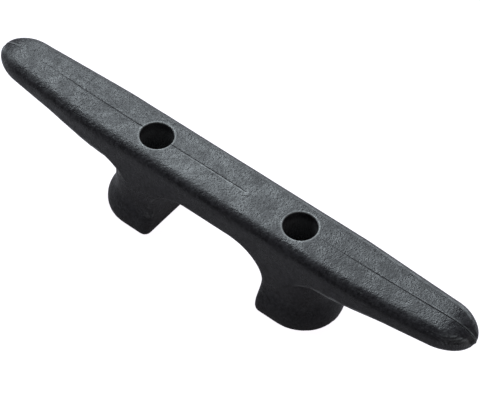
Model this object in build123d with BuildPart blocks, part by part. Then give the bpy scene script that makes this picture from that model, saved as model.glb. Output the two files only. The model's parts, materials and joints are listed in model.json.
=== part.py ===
from build123d import *
import math
import os

# Two-bolt open-base deck cleat, injection-moulded in black nylon as one piece.
# Units are millimetres. The origin is the centre of the deck plane under the cleat: +X runs along the
# horns, +Y across the bar, +Z up from the deck.

# Bar over the legs
TOP_HEIGHT = 36.1         # top of the bar above the deck, level over the parallel part
BAR_HALF_WIDTH = 11.35    # constant over the legs
BAR_END = 50.5            # half-length of that parallel part; the horns are built on from here
ARCH_TOP = 24.0           # underside of the bar between the legs
TOP_EDGE_R = 4.0          # rounding of the upper edges
ARCH_EDGE_R = 2.5         # rounding of the arch edges, carried on down the inner edges of the legs

# Horns
LENGTH = 200.0            # tip to tip
TOP_RISE = 2.0            # how much the top line climbs from the parallel part to the tips
TOP_RISE_POWER = 1.5      # above 1, the climb starts level and steepens outwards
TAPER_POWER = 1.2         # above 1, the sides start parallel and turn in outwards
TIP_HALF_WIDTH = 8.9      # half-width where the rounded tip starts
TIP_THICKNESS = 7.6       # thickness where the rounded tip starts
TIP_PLAN_LENGTH = 11.8    # length of the rounded tip in plan
TIP_TOP_LENGTH = 11.6     # length over which the top rolls down to the tip
TIP_BASE_LENGTH = 6.0     # length over which the underside rolls up to the tip
TIP_NOSE = 0.31           # height of the foremost point, as a share of the tip thickness
TIP_FLAT = 0.15           # depth taken off the tip, which leaves a small flat to close it
HORN_ROOT_Z = 25.2        # underside of the horn where it leaves the leg
HORN_EDGE_MIN = 0.2       # lower edge radius of the horn at the leg
HORN_EDGE_MAX = 2.4       # and what it grows to further out
HORN_EDGE_RUN = 20.0      # distance it takes to grow
HORN_STATION = 4.0        # spacing of the lofted sections along the straight part of the horn
HORN_STATIONS = 10        # how many of them there are
TIP_STATIONS = 8          # sections round the tip, closer together towards its end

# Legs and feet
LEG_INNER_X = 23.5        # flat inner face of each leg
LEG_CENTRE_X = 34.1       # axis of the rounded outer side of each leg
ARCH_START = 11.8         # height where the foot's flare has run out and the arch starts to curve in
ARCH_REACH = 14.7         # how far the arch curve reaches in under the bar
FOOT_R = 14.4             # half-width of the foot and radius of its outer end
FOOT_RIM = 2.7            # straight rim at the bottom of the foot
FOOT_EDGE_R = 0.6         # broken edge round the bottom of each foot
HORN_FLARE_R = 7.0        # concave flare between leg and horn underside

# Fastener holes
HOLE_X = 30.6             # each hole axis from the middle; the pair is 61.2 apart
HEAD_R = 6.0              # recess for the screw head
HEAD_SEAT_Z = 18.0        # height of the shoulder the head sits on
BOLT_R = 3.3              # clearance hole for the shank, down through the foot
HOLE_EDGE_R = 0.3         # broken edge at the mouth of the recess

HALF = LENGTH / 2
LEG_OUTER_X = LEG_CENTRE_X + BAR_HALF_WIDTH
OVER = 1.0                # overlap between blocks that are joined
NEAR = 0.1                # how close an edge must lie to a face to be picked with it


def cap(depth, length):
    """Quarter-ellipse factor: 0 at the foremost point, 1 from `length` behind it onwards."""
    t = min(depth / length, 1.0)
    return math.sqrt(1 - (1 - t) ** 2)


def top_z(x):
    """Height of the top line, which sweeps up gently along the horn."""
    return TOP_HEIGHT + TOP_RISE * ((x - BAR_END) / (HALF - BAR_END)) ** TOP_RISE_POWER


def base_z(x):
    """Height of the straight underside of the horn, before the tip is rounded."""
    end = HALF - TIP_BASE_LENGTH
    tip = top_z(end) - TIP_THICKNESS
    return HORN_ROOT_Z + (tip - HORN_ROOT_Z) * (x - LEG_OUTER_X) / (end - LEG_OUTER_X)


def half_width(x):
    """Half-width of the horn, before the tip is rounded: parallel at the bar, then tapering."""
    t = (x - BAR_END) / (HALF - TIP_PLAN_LENGTH - BAR_END)
    return BAR_HALF_WIDTH - (BAR_HALF_WIDTH - TIP_HALF_WIDTH) * t**TAPER_POWER


def horn_section(x):
    """Rounded section across the horn at a distance x from the middle."""
    depth = HALF + TIP_FLAT - x
    thick = top_z(x) - base_z(x)
    nose = base_z(x) + TIP_NOSE * thick
    w = half_width(x) * cap(depth, TIP_PLAN_LENGTH)
    z1 = nose + (1 - TIP_NOSE) * thick * cap(depth, TIP_TOP_LENGTH)
    z0 = nose - TIP_NOSE * thick * cap(depth, TIP_BASE_LENGTH)
    grown = HORN_EDGE_MIN + (HORN_EDGE_MAX - HORN_EDGE_MIN) * (x - BAR_END) / HORN_EDGE_RUN
    # The upper and lower corner radii shrink with the section, so that they always fit inside it
    r1 = min(TOP_EDGE_R, 0.8 * w, 0.5 * (z1 - z0))
    r0 = min(grown, HORN_EDGE_MAX, 0.6 * w, 0.35 * (z1 - z0))
    with BuildSketch(Plane.YZ.offset(x)) as section:
        with BuildLine():
            Line((r1 - w, z1), (w - r1, z1))
            CenterArc((w - r1, z1 - r1), r1, 0, 90)
            Line((w, z1 - r1), (w, z0 + r0))
            CenterArc((w - r0, z0 + r0), r0, 270, 90)
            Line((w - r0, z0), (r0 - w, z0))
            CenterArc((r0 - w, z0 + r0), r0, 180, 90)
            Line((-w, z0 + r0), (-w, z1 - r1))
            CenterArc((r1 - w, z1 - r1), r1, 90, 90)
        make_face()
    return section.sketch


def leg_profile(middle, height):
    """Half outline of a leg, from its middle line out to the foot: rim, flare, then a straight neck."""
    foot = middle + FOOT_R
    neck = middle + BAR_HALF_WIDTH
    pull = (ARCH_START - FOOT_RIM) / 3  # both ends of the flare start out vertical
    with BuildSketch() as profile:
        with BuildLine():
            Polyline((middle, 0), (foot, 0), (foot, FOOT_RIM))
            Bezier((foot, FOOT_RIM), (foot, FOOT_RIM + pull), (neck, ARCH_START - pull), (neck, ARCH_START))
            Polyline((neck, ARCH_START), (neck, height), (middle, height), (middle, 0))
        make_face()
    return profile.sketch


# One horn, lofted through sections that close up along the rounded tip
stations = [BAR_END + HORN_STATION * i for i in range(HORN_STATIONS)]
for i in range(TIP_STATIONS, 0, -1):
    turn = math.pi / 2 * i / TIP_STATIONS
    stations.append(HALF + TIP_FLAT - TIP_TOP_LENGTH * (1 - math.cos(turn)))
stations.append(HALF)

with BuildPart() as horn:
    loft([horn_section(x) for x in stations])

# One leg: the flared profile straight along its flat sides and turned round its outer end
with BuildPart() as leg:
    with BuildSketch(Plane.XZ):
        add(leg_profile(LEG_CENTRE_X, ARCH_TOP))
    revolve(axis=Axis((LEG_CENTRE_X, 0, 0), (0, 0, 1)))
    with Locations((LEG_INNER_X - HALF, 0, 0)):
        Box(LENGTH, LENGTH, LENGTH, mode=Mode.SUBTRACT)
    with BuildSketch(Plane.YZ.offset(LEG_INNER_X)):
        add(leg_profile(0, ARCH_START + OVER))
        mirror(about=Plane.YZ)
    extrude(amount=LEG_CENTRE_X - LEG_INNER_X)

# Concave flare from the outer side of a leg up into the horn, no wider than the bar
with BuildPart() as flare:
    with BuildSketch(Plane.XZ):
        with BuildLine():
            end_x = LEG_OUTER_X + HORN_FLARE_R
            end_z = base_z(end_x)
            start_z = end_z - HORN_FLARE_R
            CenterArc((end_x, start_z), HORN_FLARE_R, 90, 90)
            Polyline((end_x, end_z), (LEG_CENTRE_X, end_z + OVER), (LEG_CENTRE_X, start_z))
            Line((LEG_CENTRE_X, start_z), (LEG_OUTER_X, start_z))
        make_face()
    revolve(axis=Axis((LEG_CENTRE_X, 0, 0), (0, 0, 1)))
    with Locations((LEG_CENTRE_X + HALF / 2, 0, 0)):
        Box(HALF, 2 * BAR_HALF_WIDTH, LENGTH, mode=Mode.INTERSECT)

# The whole cleat, starting from the middle of the bar with the arch and the inner half of both legs
with BuildPart() as cleat_body:
    with BuildSketch(Plane.XZ):
        with BuildLine():
            Polyline((0, TOP_HEIGHT), (BAR_END, TOP_HEIGHT), (BAR_END, base_z(BAR_END)))
            Line((BAR_END, base_z(BAR_END)), (LEG_CENTRE_X, base_z(LEG_CENTRE_X)))
            Polyline((LEG_CENTRE_X, base_z(LEG_CENTRE_X)), (LEG_CENTRE_X, 0), (LEG_INNER_X, 0))
            Line((LEG_INNER_X, 0), (LEG_INNER_X, ARCH_START))
            arch_x = LEG_INNER_X - ARCH_REACH
            arch_rise = ARCH_TOP - ARCH_START
            EllipticalCenterArc((arch_x, ARCH_START), ARCH_REACH, arch_rise, start_angle=0, arc_size=90)
            Line((arch_x, ARCH_TOP), (0, ARCH_TOP))
            mirror(about=Plane.YZ)
        make_face()
    extrude(amount=BAR_HALF_WIDTH, both=True)
    top_edges = cleat_body.edges().filter_by(lambda e: e.length > BAR_END and e.center().Z > ARCH_TOP + OVER)
    fillet(top_edges, TOP_EDGE_R)

    add(leg.part)
    add(mirror(leg.part, about=Plane.YZ))
    arch_edges = cleat_body.edges().filter_by(
        lambda e: abs(e.center().X) < LEG_INNER_X + NEAR
        and abs(e.center().Y) > BAR_HALF_WIDTH - NEAR
        and NEAR < e.center().Z < ARCH_TOP + NEAR
        and e.bounding_box().size.Y < BAR_HALF_WIDTH
    )
    fillet(arch_edges, ARCH_EDGE_R)

    add(flare.part)
    add(mirror(flare.part, about=Plane.YZ))
    add(horn.part)
    add(mirror(horn.part, about=Plane.YZ))

    with Locations((HOLE_X, 0, HEAD_SEAT_Z), (-HOLE_X, 0, HEAD_SEAT_Z)):
        Cylinder(HEAD_R, TOP_HEIGHT, align=(Align.CENTER, Align.CENTER, Align.MIN), mode=Mode.SUBTRACT)
    mouths = cleat_body.edges().filter_by(GeomType.CIRCLE).filter_by(
        lambda e: abs(e.radius - HEAD_R) < NEAR and e.bounding_box().min.Z > TOP_HEIGHT - NEAR
    )
    fillet(mouths, HOLE_EDGE_R)
    soles = cleat_body.edges().filter_by(lambda e: e.bounding_box().max.Z < NEAR)
    fillet(soles, FOOT_EDGE_R)
    with Locations((HOLE_X, 0, 0), (-HOLE_X, 0, 0)):
        Cylinder(BOLT_R, TOP_HEIGHT, mode=Mode.SUBTRACT)

cleat_body.part.label = "cleat_body"
os.makedirs("parts", exist_ok=True)
export_step(cleat_body.part, "parts/cleat_body.step")
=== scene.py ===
import json
import math

import bmesh
import bpy
from mathutils import Matrix, Vector, noise
from mathutils.bvhtree import BVHTree

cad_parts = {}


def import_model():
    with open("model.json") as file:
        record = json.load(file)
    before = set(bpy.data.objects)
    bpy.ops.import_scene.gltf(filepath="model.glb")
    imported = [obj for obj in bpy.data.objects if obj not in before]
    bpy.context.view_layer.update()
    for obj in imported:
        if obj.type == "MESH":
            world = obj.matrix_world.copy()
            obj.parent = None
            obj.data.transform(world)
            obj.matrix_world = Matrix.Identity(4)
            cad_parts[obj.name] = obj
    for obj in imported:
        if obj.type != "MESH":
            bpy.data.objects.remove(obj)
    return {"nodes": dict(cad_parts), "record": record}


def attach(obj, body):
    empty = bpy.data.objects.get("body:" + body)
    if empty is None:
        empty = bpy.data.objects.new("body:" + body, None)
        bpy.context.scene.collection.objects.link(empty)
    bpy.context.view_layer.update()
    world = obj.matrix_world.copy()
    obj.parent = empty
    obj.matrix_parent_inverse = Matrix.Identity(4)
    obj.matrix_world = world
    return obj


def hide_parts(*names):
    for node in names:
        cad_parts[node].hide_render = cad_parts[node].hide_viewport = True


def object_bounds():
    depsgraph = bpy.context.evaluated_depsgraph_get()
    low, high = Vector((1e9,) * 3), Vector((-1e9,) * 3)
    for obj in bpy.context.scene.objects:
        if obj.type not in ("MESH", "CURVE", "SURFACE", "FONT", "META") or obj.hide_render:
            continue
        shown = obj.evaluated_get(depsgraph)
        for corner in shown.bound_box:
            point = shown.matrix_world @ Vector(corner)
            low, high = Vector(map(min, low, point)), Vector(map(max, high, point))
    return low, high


# Deck cleat moulded in black nylon, on a pale floor. All lengths are metres. X runs along the bar, from the
# left horn to the right one, Y from the front to the back, and Z up from the deck.
MM = 0.001

# Skin of the moulding
SKIN_CELL = 0.55 * MM         # size of the even mesh that the skin is made of
SETTLE_STEPS = 3              # passes that put that mesh back on the true surface
SOFTEN_STEPS = 2              # smoothing passes, which round the sharp edges as moulding leaves them
SMOOTHING = 0.5               # how far such a pass moves each point towards the middle of its neighbours
MOUTH_REFINE = (1.6 * MM, 1.0 * MM)   # how far from the rims of the recesses the mesh is made finer, twice
WAVES = ((9 * MM, 0.030 * MM), (2.2 * MM, 0.012 * MM))   # size and height of its slight unevenness
SWELL = 0.12 * MM             # how far the skin stands outside the CAD surface, except in the recesses
SOLE = 1 * MM                 # and below this height, on the soles of the feet
CROWN = 0.12 * MM             # the top stands this much prouder along its middle than at its sides
CROWN_BAND = 8 * MM           # what lies this far below the highest point, or further, gets no crown
CROWN_FACING = (-0.1, 0.9)    # how far upwards the surface faces, from no crown to all of it
FRONT_FALL = 0.85 * MM        # drop of the right horn's front half towards its side
FRONT_FALL_X = (35 * MM, 80 * MM)     # where along the horn that drop sets in

# Depths below the highest point of the cleat, which is at its tips
BAR_DROP = 1.4 * MM           # of the level top of the bar
HOLE_DROP = 1.8 * MM          # from which a point can be in a recess
TOP_BAND = 3 * MM             # down to which the marks of the top are made

HOLE_MARGIN = 0.1 * MM        # points this far outside the radius of a recess still belong to its wall

# Parting line, where the two halves of the mould met, in the plane y = 0
SEAM_ROWS = (0.07 * MM, 0.15 * MM, 0.28 * MM, 0.5 * MM)   # rows of points each side of the middle row
SEAM_SNAP = 0.02 * MM         # points nearer than this to a row are moved onto it
SEAM_MIDDLE = 0.01 * MM       # points nearer than this to the plane belong to the middle row
SEAM_HALF_WIDTH = 0.2 * MM
SEAM_DEPTH = 0.19 * MM
SEAM_WANDER = 0.3             # share of the depth by which it varies
SEAM_WANDER_SIZE = 14 * MM    # over about this length
SEAM_FAINT = 0.85             # share of the depth that is missing to the right of the gate
SEAM_FAINT_X = ((7 * MM, 11 * MM), (34 * MM, 66 * MM))    # where the line turns faint, and clear again
SEAM_LOW = 0.3                # share of the depth that is left below the bar
SEAM_LOW_Z = (26 * MM, 30 * MM)       # heights between which that share grows to 1
SEAM_LEFT = 0.2               # share of the depth that is left at the left tip
SEAM_LEFT_X = (-92 * MM, -54 * MM)    # where that share grows to 1
SEAM_STEP = 0.09 * MM         # how far one half stands proud of the other
SEAM_STEP_REACH = 2.5 * MM    # distance over which that step dies out
FRONT_PROUD_X = ((-22 * MM, -12 * MM), (6 * MM, 10 * MM))    # where the front half rises, and sinks again
BACK_PROUD_X = (62 * MM, 86 * MM)     # where the back half rises, on the right horn
LEFT_TIP_X = (90 * MM, 97 * MM)       # and at the left tip, counted leftwards
LEFT_TIP_STEP = 1.5           # how many times the step is larger there

# Flash left on the right tip
NIB_HEIGHT = 0.5 * MM
NIB_HALF_WIDTH = 0.45 * MM    # from the parting plane
NIB_HALF_LENGTH = 1.5 * MM    # up and down the tip
NIB_DROP = 3.5 * MM           # how far below the highest point its middle is
NIB_PALE = 0.5
NIB_BAND = 2 * MM             # it is all within this distance of the right end

# Scar of the gate that the nylon came in through: a small ring
GATE_AT = (8.6 * MM, -0.5 * MM)
GATE_RING = 0.4 * MM          # radius of the ring
GATE_RING_WIDTH = 0.32 * MM
GATE_HEIGHT = 0.16 * MM
GATE_PALE = 0.4

# Pale places: painted highlights and painted fill light, and the real gate, flash and scuff. How pale they
# are goes from 0, the plain nylon, to 1, the pale nylon colour given below
RIM_OUT = 0.3 * MM            # how far outside and above the mouths of the recesses their painted highlight ring lies
RIM_WIDTH = 0.3 * MM
# paleness of the painted highlight ring at the mouths, and of the painted fill light inside the recesses
PAINTED_RECESS_LIGHT = 0.58
MOUTH_PAINTED_FILL = 0.06             # how pale the painted fill light makes the recesses near their mouths, as a share of the paleness above
HOLE_PAINTED_FILL = 0.50              # and deep inside
PAINTED_FILL_DEPTH = (1.5 * MM, 5.0 * MM)     # depths below the bar's top between which that changes
PAINTED_FILL_BELOW_FLOOR = 0.5 * MM   # how far below the shoulders the painted fill light still reaches
LIP_ASIDE = ((0.1 * MM, 0.2 * MM), (0.45 * MM, 0.7 * MM))    # where beside the seam its proud edge gets a painted highlight
# paleness of that painted highlight
LIP_HIGHLIGHT = 0.6
LIP_HIGHLIGHT_BACK = 0.5           # share of that where the back half is the proud one
LIP_SPOTS = 1.8 * MM          # size of its paler and darker spots
LIP_PATCHY = (0.7, 0.9)       # level and swing of that unevenness
EDGE_HIGHLIGHT = 0.7               # how pale the painted highlight on the crisp edges is
EDGE_HIGHLIGHT_Z = 8 * MM          # above this height
EDGE_HIGHLIGHT_CLEAR = 2 * MM      # and this far from the rims and from the parting line
EDGE_SHARPNESS = (0.13, 0.32)         # from an edge too round for the painted highlight to a crisp one, in 1/mm
EDGE_SPOTS = 4 * MM           # size of their paler and darker spots
EDGE_PATCHY = (0.75, 0.9)     # level and swing of that unevenness
LEAST_SQUARE = 1e-12          # the square of an edge's length is taken as at least this, to divide by it
HORN_EDGE_X = (44 * MM, 80 * MM)      # where the painted highlight on the lower edges of the horns covers a wider strip
HORN_EDGE_Y = 6 * MM
HORN_EDGE_Z = (22 * MM, 31 * MM)
HORN_EDGE_HIGHLIGHT = 0.8          # how much of the edge's painted highlight the next row of points beside it has
SCUFF_AT = (-15 * MM, -4.5 * MM)      # a lightly scuffed patch on the top, beside the left recess
SCUFF_REACH = (9 * MM, 4.5 * MM)
SCUFF_STREAK = (1.1 * MM, 3.5 * MM)   # width and length of its streaks, which run across the bar
SCUFF_PALE = 0.12
SCUFF_PATCHY = (0.7, 2)       # level and swing of the streaks

# Slices of the noise that these marks take their unevenness from
WANDER_SLICE = 7
LIP_SLICE = 3
SCUFF_SLICE = 11

# Black nylon
NYLON_DARK = (0.018, 0.016, 0.019)
NYLON_PALE = (0.048, 0.044, 0.050)
# pale colour of the gate, the flash and the scuff, also used for painted highlights and painted fill light
NYLON_WORN_AND_LIT = (0.50, 0.50, 0.50)
ROUGHNESS = (0.21, 0.47)
GRAIN_SIZE = 0.5 * MM
GRAIN_DEPTH = 0.16 * MM
MOTTLE_SIZE = 1.1 * MM
MOTTLE_DEPTH = 0.20 * MM
GRAIN_FADE_X = (-50 * MM, 50 * MM)    # grain and mottle get shallower from the left horn towards the right
GRAIN_FADE = (1.0, 0.46)      # share of their depth that they have at either end of that
PATCH_SIZE = 5 * MM
PATCH_ROUGHNESS = 0.8
NOISE_RANGE = (0.35, 0.65)    # where a noise texture's values mostly lie

# Floor
FLOOR_HALF = 6.0              # half its width
FLOOR_COLOUR = (0.40, 0.385, 0.40)
FLOOR_ROUGHNESS = 0.9
FLOOR_GLOW_COLOUR = (1, 0.97, 1.02)
FLOOR_GLOW = (0.09, 1.0)      # strength of its own light, as the nylon sees it and as the camera does

# World
BACKDROP = (1, 1, 1)          # what the camera sees past the floor
SKY_COLOUR = (0.9, 0.95, 1)   # what lights the cleat
SKY_STRENGTH = 0.05

# Soft boxes: name, azimuth and elevation in degrees, distance, width and height, radiance, colour
COOL = (0.90, 1.0, 1.05)
WARM = (1.0, 0.98, 1.0)
SOFT_BOXES = (
    ("key", 231, 48, 0.9, (0.56, 0.46), 6.2, COOL),
    ("rear", 192, 17, 1.2, (0.9, 0.5), 3.2, COOL),
    ("left", 284, 40, 1.2, (0.35, 0.6), 3.2, COOL),
    ("right", 105, 28, 1.3, (0.9, 0.8), 0.35, WARM),
    ("front", 36, 38, 1.5, (0.8, 0.6), 0.12, WARM),
)

# Camera: the photograph's viewing angle and framing. Angles are degrees
CAMERA_AZIMUTH = 35.88
CAMERA_ELEVATION = 50.68
CAMERA_ROLL = 3.13
CAMERA_DISTANCE = 0.670
CAMERA_LENS = 147.9           # millimetres of focal length
CAMERA_AIM = Vector((0, 0, 20 * MM))
CAMERA_RIGHT = 4.755 * MM     # sideways and upwards offset of the camera from that aim
CAMERA_UP = 3.14 * MM

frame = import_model()
cad_low, cad_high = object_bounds()
cleat = frame["nodes"]["cleat_body"]
mounts = {mount["name"]: mount for mount in frame["record"]["mounts"]}
recesses = [mounts["head_recess_left"], mounts["head_recess_right"]]


def link(obj):
    """The object, now in the scene."""
    bpy.context.scene.collection.objects.link(obj)
    return obj


def ease(value, low, high):
    """0 below low, 1 above high, and smooth between them."""
    t = min(max((value - low) / (high - low), 0), 1)
    return t * t * (3 - 2 * t)


def band(value, rise, fall):
    """0, then 1 from the end of rise to the start of fall, and 0 again."""
    return ease(value, *rise) * (1 - ease(value, *fall))


def blend(start, end, share):
    """The value that lies that share of the way from start to end."""
    return start + (end - start) * share


def bell(away, half_width):
    """1 at the middle, and smaller further away from it."""
    return math.exp(-((away / half_width) ** 2))


def patchy(place, level, swing):
    """A number that varies from place to place, round a level."""
    return level + swing * noise.noise(place)


def from_mouth(point, out=0.0, up=0.0):
    """Distance of a point from the nearest rim of a screw recess, or from a ring further out and up."""
    distances = []
    for mount in recesses:
        x, y, z = mount["pos_m"]
        across = math.hypot(point.x - x, point.y - y) - mount["dims"]["r_mm"] * MM - out
        rim_z = z + mount["dims"]["length_mm"] / 2 * MM + up
        distances.append(math.hypot(across, point.z - rim_z))
    return min(distances)


def in_a_hole(point):
    """True inside the screw recesses, which a core made, so no parting line crosses them."""
    for mount in recesses:
        x, y, _ = mount["pos_m"]
        reach = mount["dims"]["r_mm"] * MM + HOLE_MARGIN
        if math.hypot(point.x - x, point.y - y) < reach and point.z < cad_high.z - HOLE_DROP:
            return True
    return False


def recess_floor():
    """Height of the shoulders inside the recesses."""
    mount = recesses[0]
    return mount["pos_m"][2] - mount["dims"]["length_mm"] / 2 * MM


def on_top(point):
    """True for what lies high enough to have the marks of the top."""
    return point.z >= cad_high.z - TOP_BAND


# The mesh of the skin


def even_skin(source, name):
    """A new object with the shape of source in small even faces."""
    skin = link(bpy.data.objects.new(name, source.data.copy()))
    even = skin.modifiers.new("even", "REMESH")
    even.mode = "VOXEL"
    even.voxel_size = SKIN_CELL
    evaluated = skin.evaluated_get(bpy.context.evaluated_depsgraph_get())
    mesh = bpy.data.meshes.new_from_object(evaluated)
    skin.modifiers.clear()
    skin.data = mesh
    return skin


def refine_mouths(bm):
    """Smaller faces round the rims of the recesses, whose edges are crisp."""
    for reach in MOUTH_REFINE:
        edges = [e for e in bm.edges if max(from_mouth(v.co) for v in e.verts) < reach]
        bmesh.ops.subdivide_edges(bm, edges=edges, cuts=1, use_grid_fill=True)


def smooth(bm, vertices):
    """One smoothing pass over these vertices."""
    bmesh.ops.smooth_vert(
        bm, verts=vertices, factor=SMOOTHING, use_axis_x=True, use_axis_y=True, use_axis_z=True
    )


def settle(mesh, source):
    """Puts the even mesh back on the true surface, then rounds its edges a little, except at the mouths."""
    surface = BVHTree.FromObject(source, bpy.context.evaluated_depsgraph_get())
    bm = bmesh.new()
    bm.from_mesh(mesh)
    refine_mouths(bm)
    for _ in range(SETTLE_STEPS):
        smooth(bm, bm.verts)
        for vertex in bm.verts:
            vertex.co = surface.find_nearest(vertex.co)[0]
    soft = [v for v in bm.verts if from_mouth(v.co) > MOUTH_REFINE[-1]]
    for _ in range(SOFTEN_STEPS):
        smooth(bm, soft)
    return bm


def cut_seam_rows(bm):
    """Rows of points beside the parting plane, so that the seam has crisp sides."""
    offsets = [0.0] + [side * row for row in SEAM_ROWS for side in (-1, 1)]
    for y in offsets:
        everything = bm.verts[:] + bm.edges[:] + bm.faces[:]
        bmesh.ops.bisect_plane(
            bm, geom=everything, dist=SEAM_SNAP, plane_co=(0, y, 0), plane_no=(0, 1, 0), use_snap_center=True
        )


# How far each mark raises the skin


def waviness(point):
    """The slight unevenness of a moulded surface."""
    return sum(height * noise.noise(point / size) for size, height in WAVES)


def crown(point, normal):
    """The top is highest along its middle, and the front half of the right horn falls away further."""
    if point.z < cad_high.z - CROWN_BAND:
        return 0.0
    out = min(abs(point.y) / cad_high.y, 1)
    fall = FRONT_FALL * ease(point.x, *FRONT_FALL_X) if point.y < 0 else 0.0
    return (CROWN * (0.5 - out) - fall * out) * ease(normal.z, *CROWN_FACING)


def seam_step(x):
    """Which half stands proud at the parting line, in SEAM_STEPs: above 0 the back one, below 0 the front."""
    left_tip = LEFT_TIP_STEP * ease(-x, *LEFT_TIP_X)
    return ease(x, *BACK_PROUD_X) + left_tip - band(x, *FRONT_PROUD_X)


def proud_side(point, step):
    """Distance of a point from the parting plane, above 0 on the half that stands proud."""
    return point.y if step > 0 else -point.y


def seam_depth(point):
    """Depth of the groove along the parting line."""
    wander = patchy(Vector((point.x / SEAM_WANDER_SIZE, 0, WANDER_SLICE)), 1, SEAM_WANDER)
    faint = 1 - SEAM_FAINT * band(point.x, *SEAM_FAINT_X)
    low = blend(SEAM_LOW, 1, ease(point.z, *SEAM_LOW_Z))
    left = blend(SEAM_LEFT, 1, ease(point.x, *SEAM_LEFT_X))
    return SEAM_DEPTH * wander * faint * low * left


def seam_lift(point):
    """How far the parting line raises the surface: a fine groove, with one half slightly proud."""
    step = seam_step(point.x)
    proud = proud_side(point, step) > SEAM_MIDDLE
    fade = math.exp(-abs(point.y) / SEAM_STEP_REACH) if proud else 0.0
    groove = max(0.0, 1 - abs(point.y) / SEAM_HALF_WIDTH)
    return SEAM_STEP * abs(step) * fade - seam_depth(point) * groove


def gate_lift(point):
    """A small raised ring on the top, beside the parting line."""
    if not on_top(point):
        return 0.0
    away = math.hypot(point.x - GATE_AT[0], point.y - GATE_AT[1])
    return GATE_HEIGHT * bell(away - GATE_RING, GATE_RING_WIDTH)


def nib_lift(point):
    """Flash standing out from the parting line at the right tip."""
    if point.x < cad_high.x - NIB_BAND:
        return 0.0
    height = point.z - (cad_high.z - NIB_DROP)
    return NIB_HEIGHT * bell(point.y, NIB_HALF_WIDTH) * bell(height, NIB_HALF_LENGTH)


# How pale each mark is


def painted_rim_highlight_and_recess_fill(point):
    """A painted highlight ring at the mouths of the recesses, and painted fill light that lifts the shade
    inside them.
    """
    ring = bell(from_mouth(point, RIM_OUT, RIM_OUT), RIM_WIDTH)
    painted_fill = 0.0
    # painted fill light: the recess walls are paler deeper down, to lift their shade
    if in_a_hole(point) and point.z > recess_floor() - PAINTED_FILL_BELOW_FLOOR:
        depth = cad_high.z - BAR_DROP - point.z
        painted_fill = blend(MOUTH_PAINTED_FILL, HOLE_PAINTED_FILL, ease(depth, *PAINTED_FILL_DEPTH))
    return PAINTED_RECESS_LIGHT * max(ring, painted_fill)


def painted_seam_highlight(point):
    """A painted highlight on the proud edge of the parting line, along the top."""
    if not on_top(point):
        return 0.0
    step = seam_step(point.x)
    lip = abs(step) * band(proud_side(point, step), *LIP_ASIDE)
    if step > 0:
        lip *= LIP_HIGHLIGHT_BACK
    spots = patchy(Vector((point.x / LIP_SPOTS, LIP_SLICE, 0)), *LIP_PATCHY)
    return LIP_HIGHLIGHT * lip * spots


def scuff(point):
    """Pale short streaks on the top, which fade out round their middle."""
    if not on_top(point):
        return 0.0
    along = bell(point.x - SCUFF_AT[0], SCUFF_REACH[0])
    across = bell(point.y - SCUFF_AT[1], SCUFF_REACH[1])
    place = Vector((point.x / SCUFF_STREAK[0], point.y / SCUFF_STREAK[1], SCUFF_SLICE))
    return max(0.0, SCUFF_PALE * patchy(place, *SCUFF_PATCHY) * along * across)


def wear_and_painted_light(point):
    """How pale the surface is, from 0 to 1: painted highlights at the rims and along the seam, painted fill
    light in the recesses, and the gate, the flash and the scuff.
    """
    gate = GATE_PALE * min(gate_lift(point) / GATE_HEIGHT, 1)
    nib = NIB_PALE * nib_lift(point) / NIB_HEIGHT
    return max(painted_rim_highlight_and_recess_fill(point), painted_seam_highlight(point), gate, nib, scuff(point))


def sharpness(vertex):
    """How strongly the surface bends outwards at a vertex, in 1/mm: 1 on an edge rounded to about 0.5 mm."""
    bend = 0.0
    for edge in vertex.link_edges:
        away = edge.other_vert(vertex).co - vertex.co
        bend -= 2 * away.dot(vertex.normal) / max(away.length_squared, LEAST_SQUARE)
    return bend / max(len(vertex.link_edges), 1) * MM


def painted_edge_highlight(vertex):
    """A painted highlight on the crisp edges above the feet, here stronger and there weaker."""
    point = vertex.co
    if point.z < EDGE_HIGHLIGHT_Z or min(from_mouth(point), abs(point.y)) < EDGE_HIGHLIGHT_CLEAR:
        return 0.0
    return EDGE_HIGHLIGHT * ease(sharpness(vertex), *EDGE_SHARPNESS) * patchy(point / EDGE_SPOTS, *EDGE_PATCHY)


def on_horn_edge(point):
    """True near the lower edges of the horns."""
    x, y, z = abs(point.x), abs(point.y), point.z
    return HORN_EDGE_X[0] < x < HORN_EDGE_X[1] and HORN_EDGE_Z[0] < z < HORN_EDGE_Z[1] and y > HORN_EDGE_Y


def widened(bm, paleness):
    """The same paleness, reaching one row of points further beside the lower edges of the horns, which widens
    their painted highlight.
    """
    bm.verts.index_update()
    wider = list(paleness)
    for vertex in bm.verts:
        if on_horn_edge(vertex.co):
            beside = max(paleness[edge.other_vert(vertex).index] for edge in vertex.link_edges)
            wider[vertex.index] = max(paleness[vertex.index], HORN_EDGE_HIGHLIGHT * beside)
    return wider


def moulded_skin(name):
    """The cleat as it comes out of the mould."""
    skin = even_skin(cleat, name)
    bm = settle(skin.data, cleat)
    cut_seam_rows(bm)
    bm.normal_update()
    lifts, paleness = [], []
    for vertex in bm.verts:
        point = vertex.co
        lift = waviness(point)
        if point.z > SOLE and not in_a_hole(point):
            lift += SWELL
            lift += seam_lift(point) + gate_lift(point) + nib_lift(point)
        # paleness of each point: the gate, flash and scuff, and the painted highlights and painted fill light
        paleness.append(max(wear_and_painted_light(point), painted_edge_highlight(vertex)))
        lifts.append(vertex.normal * lift + Vector((0, 0, crown(point, vertex.normal))))
    paleness = widened(bm, paleness)
    for vertex, lift in zip(bm.verts, lifts):
        vertex.co += lift
    for face in bm.faces:
        face.smooth = True
    bm.to_mesh(skin.data)
    bm.free()
    # stores that paleness, painted light included, for the material
    skin.data.attributes.new("wear_and_painted_light", "FLOAT", "POINT").data.foreach_set("value", paleness)
    return skin


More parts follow.
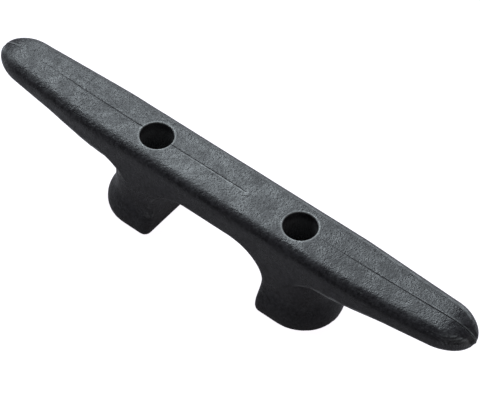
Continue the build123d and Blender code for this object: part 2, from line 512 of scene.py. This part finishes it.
def nylon():
    """Black moulded nylon: a fine raised grain, uneven sheen, and paler at the gate, flash and scuff and
    where highlights and fill light are painted on.
    """
    material = bpy.data.materials.new("black_nylon")
    material.use_nodes = True
    tree = material.node_tree
    nodes, links = tree.nodes, tree.links
    shader = nodes["Principled BSDF"]
    place = nodes.new("ShaderNodeTexCoord").outputs["Object"]

    def noise_at(size, detail, roughness=0.5):
        node = nodes.new("ShaderNodeTexNoise")
        node.inputs["Scale"].default_value = 1 / size
        node.inputs["Detail"].default_value = detail
        node.inputs["Roughness"].default_value = roughness
        links.new(place, node.inputs["Vector"])
        return node.outputs["Fac"]

    def mapped(value, source, target):
        """The value, carried over from the source range to the target range."""
        node = nodes.new("ShaderNodeMapRange")
        node.inputs["From Min"].default_value, node.inputs["From Max"].default_value = source
        node.inputs["To Min"].default_value, node.inputs["To Max"].default_value = target
        links.new(value, node.inputs["Value"])
        return node.outputs["Result"]

    split = nodes.new("ShaderNodeSeparateXYZ")
    links.new(place, split.inputs["Vector"])
    fade = mapped(split.outputs["X"], GRAIN_FADE_X, GRAIN_FADE)

    def bumped(height, depth, under=None):
        """A relief of that height and depth, on top of the one under it."""
        node = nodes.new("ShaderNodeBump")
        node.inputs["Distance"].default_value = depth
        links.new(fade, node.inputs["Strength"])
        links.new(height, node.inputs["Height"])
        if under:
            links.new(under, node.inputs["Normal"])
        return node.outputs["Normal"]

    grain = noise_at(GRAIN_SIZE, detail=1)
    mottle = noise_at(MOTTLE_SIZE, detail=2)
    patches = noise_at(PATCH_SIZE, detail=3, roughness=PATCH_ROUGHNESS)
    tone = nodes.new("ShaderNodeMix")
    tone.data_type = "RGBA"
    tone.inputs["A"].default_value = (*NYLON_DARK, 1)
    tone.inputs["B"].default_value = (*NYLON_PALE, 1)
    links.new(mapped(mottle, NOISE_RANGE, (0, 1)), tone.inputs["Factor"])
    paleness = nodes.new("ShaderNodeAttribute")
    paleness.attribute_name = "wear_and_painted_light"
    # mixes in the pale colour where highlights and fill light are painted, and at the gate, flash and scuff
    worn_and_lit_tone = nodes.new("ShaderNodeMix")
    worn_and_lit_tone.data_type = "RGBA"
    worn_and_lit_tone.inputs["B"].default_value = (*NYLON_WORN_AND_LIT, 1)
    links.new(tone.outputs["Result"], worn_and_lit_tone.inputs["A"])
    links.new(paleness.outputs["Fac"], worn_and_lit_tone.inputs["Factor"])
    links.new(worn_and_lit_tone.outputs["Result"], shader.inputs["Base Color"])
    links.new(mapped(patches, NOISE_RANGE, ROUGHNESS), shader.inputs["Roughness"])
    relief = bumped(mottle, MOTTLE_DEPTH)
    relief = bumped(grain, GRAIN_DEPTH, relief)
    links.new(relief, shader.inputs["Normal"])
    return material


def floor():
    """A plain pale floor that reaches past every view of the cleat."""
    corners = [(x * FLOOR_HALF, y * FLOOR_HALF, 0) for x, y in ((-1, -1), (1, -1), (1, 1), (-1, 1))]
    mesh = bpy.data.meshes.new("floor")
    mesh.from_pydata(corners, [], [(0, 1, 2, 3)])
    ground = link(bpy.data.objects.new("floor", mesh))
    material = bpy.data.materials.new("pale_floor")
    material.use_nodes = True
    nodes, links = material.node_tree.nodes, material.node_tree.links
    shader = nodes["Principled BSDF"]
    shader.inputs["Base Color"].default_value = (*FLOOR_COLOUR, 1)
    shader.inputs["Roughness"].default_value = FLOOR_ROUGHNESS
    shader.inputs["Emission Color"].default_value = (*FLOOR_GLOW_COLOUR, 1)
    # White to the eye, like a cut-out photograph, while the nylon reflects a darker floor with a shadow on it
    path = nodes.new("ShaderNodeLightPath")
    strength = nodes.new("ShaderNodeMapRange")
    strength.inputs["To Min"].default_value, strength.inputs["To Max"].default_value = FLOOR_GLOW
    links.new(path.outputs["Is Camera Ray"], strength.inputs["Value"])
    links.new(strength.outputs["Result"], shader.inputs["Emission Strength"])
    material.cycles.emission_sampling = "NONE"
    mesh.materials.append(material)


def direction(azimuth, elevation):
    """From the cleat towards somebody who looks at it: azimuth 0 is its front, and 90 its right end."""
    a, e = math.radians(azimuth), math.radians(elevation)
    return Vector((math.sin(a) * math.cos(e), -math.cos(a) * math.cos(e), math.sin(e)))


def soft_box(name, azimuth, elevation, distance, size, radiance, colour):
    """An area light that stands in that direction and is aimed at the cleat."""
    light = bpy.data.lights.new(name, "AREA")
    light.shape = "RECTANGLE"
    light.size, light.size_y = size
    light.color = colour
    light.energy = radiance * math.pi * size[0] * size[1]
    lamp = link(bpy.data.objects.new(name, light))
    back = direction(azimuth, elevation)
    lamp.location = CAMERA_AIM + back * distance
    lamp.rotation_euler = back.to_track_quat("Z", "Y").to_euler()


def world():
    """Pale backdrop to the eye, and little light of its own."""
    made = bpy.data.worlds.new("studio")
    made.use_nodes = True
    nodes, links = made.node_tree.nodes, made.node_tree.links
    seen = nodes["Background"]
    seen.inputs["Color"].default_value = (*BACKDROP, 1)
    lit = nodes.new("ShaderNodeBackground")
    lit.inputs["Color"].default_value = (*SKY_COLOUR, 1)
    lit.inputs["Strength"].default_value = SKY_STRENGTH
    path = nodes.new("ShaderNodeLightPath")
    mix = nodes.new("ShaderNodeMixShader")
    links.new(path.outputs["Is Camera Ray"], mix.inputs["Fac"])
    links.new(lit.outputs["Background"], mix.inputs[1])
    links.new(seen.outputs["Background"], mix.inputs[2])
    links.new(mix.outputs["Shader"], nodes["World Output"].inputs["Surface"])
    bpy.context.scene.world = made


def camera():
    """The photograph's view: a long lens above and to the right of the cleat's front."""
    a, turn = math.radians(CAMERA_AZIMUTH), math.radians(CAMERA_ROLL)
    back = direction(CAMERA_AZIMUTH, CAMERA_ELEVATION)
    level = Vector((math.cos(a), math.sin(a), 0))
    upright = back.cross(level)
    right = level * math.cos(turn) + upright * math.sin(turn)
    up = upright * math.cos(turn) - level * math.sin(turn)
    data = bpy.data.cameras.new("camera")
    data.lens = CAMERA_LENS
    eye = link(bpy.data.objects.new("camera", data))
    place = CAMERA_AIM + right * CAMERA_RIGHT + up * CAMERA_UP + back * CAMERA_DISTANCE
    eye.matrix_world = Matrix.Translation(place) @ Matrix((right, up, back)).transposed().to_4x4()
    bpy.context.scene.camera = eye


skin = moulded_skin("moulded_cleat")
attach(skin, "root")
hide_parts("cleat_body")
skin.data.materials.clear()
skin.data.materials.append(nylon())

floor()
for box in SOFT_BOXES:
    soft_box(*box)
world()
camera()
bpy.context.scene.view_settings.view_transform = "Standard"
